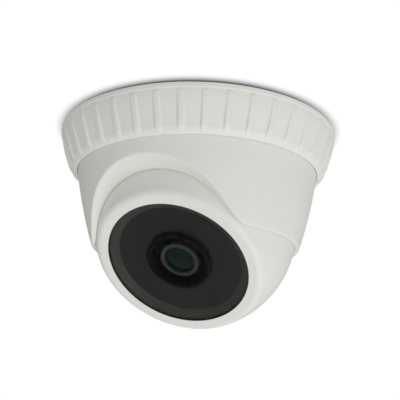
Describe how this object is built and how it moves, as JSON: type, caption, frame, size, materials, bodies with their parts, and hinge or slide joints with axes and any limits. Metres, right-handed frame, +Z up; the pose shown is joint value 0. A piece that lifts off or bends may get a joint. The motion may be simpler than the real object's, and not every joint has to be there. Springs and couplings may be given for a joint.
{
  "type": "dome cctv camera",
  "caption": "Ceiling dome camera: a lens ball tilts in a panning shell that hangs in a ribbed twist-lock ring on a round base.",
  "frame": {"origin": "centre of the ceiling face of the mounting base", "axes": "+Z up into the ceiling, the lens looks towards -Y and down, +X to the right of someone facing +Y"},
  "size_m": [0.11, 0.11, 0.0755],
  "materials": {
    "white_plastic": "satin moulded white",
    "shell_plastic": "satin moulded white",
    "ball_plastic": "satin moulded white",
    "base_plastic": "moulded white",
    "foam": "closed-cell foam",
    "nylon": "natural nylon",
    "window_clear": "clear polycarbonate",
    "smoked_panel": "smoked infrared-pass",
    "black_rubber": "matte black",
    "black_plastic": "matte black",
    "lens_black": "black anodised",
    "lens_glass": "coated glass",
    "pcb": "solder mask",
    "pcb_black": "black solder mask",
    "led": "clear epoxy",
    "chip": "moulded epoxy",
    "connector": "cream nylon",
    "steel": "zinc plated",
    "brass": "turned",
    "aluminium": "extruded",
    "silicone": "thermal pad",
    "filter_glass": "coated filter glass",
    "copper": "enamelled winding",
    "ribbon": "flat flexible"
  },
  "bodies": {
    "base": {"mounting_base": "base_plastic", "base_gasket": "foam", "pan_friction_ring": "nylon"},
    "ring": {"trim_ring": "white_plastic"},
    "shell": {"dome_shell": "shell_plastic"},
    "ball": {"ball_housing": "ball_plastic", "board_components": "chip", "board_connectors": "connector", "board_screws": "steel", "bracket_screws": "steel", "cable_grommet": "black_rubber", "core_bracket": "black_plastic", "filter_coil": "copper", "front_panel": "smoked_panel", "front_window": "window_clear", "heat_spreader": "aluminium", "image_sensor": "chip", "ir_board": "pcb_black", "ir_board_screws": "steel", "ir_leds": "led", "lens_holder": "black_plastic", "lens_shroud": "black_rubber", "light_sensor": "led", "main_board": "pcb", "rear_cover": "black_plastic", "rear_cover_screws": "steel", "ribbon_cable": "ribbon", "sensor_glass": "filter_glass", "standoffs": "brass", "thermal_pad": "silicone", "tilt_pins": "steel", "tilt_washers": "nylon", "window_gasket": "black_rubber"},
    "lens": {"lens_barrel": "lens_black", "lens_front_glass": "lens_glass", "lens_rear_glass": "lens_glass", "focus_lock_ring": "brass"},
    "ir_filter": {"filter_frame": "black_plastic", "filter_glasses": "filter_glass"}
  },
  "joints": [
    {"name": "ring_twist", "type": "hinge", "parent": "base", "child": "ring", "pos_m": [0, 0, 0], "axis": [0, 0, 1], "range_deg": [0, 36]},
    {"name": "shell_pan", "type": "hinge", "parent": "base", "child": "shell", "pos_m": [0, 0, 0], "axis": [0, 0, 1], "range_deg": [-174, 174]},
    {"name": "ball_tilt", "type": "hinge", "parent": "shell", "child": "ball", "pos_m": [0, 0, -0.0377], "axis": [1, 0, 0], "range_deg": [-10, 38.9]},
    {"name": "lens_focus", "type": "hinge", "parent": "ball", "child": "lens", "pos_m": [0, 0, -0.0377], "axis": [0, -0.628, -0.7782], "range_deg": [-90, 90]},
    {"name": "filter_slide", "type": "slide", "parent": "ball", "child": "ir_filter", "axis": [1, 0, 0], "range_m": [0, 0.0052]}
  ]
}
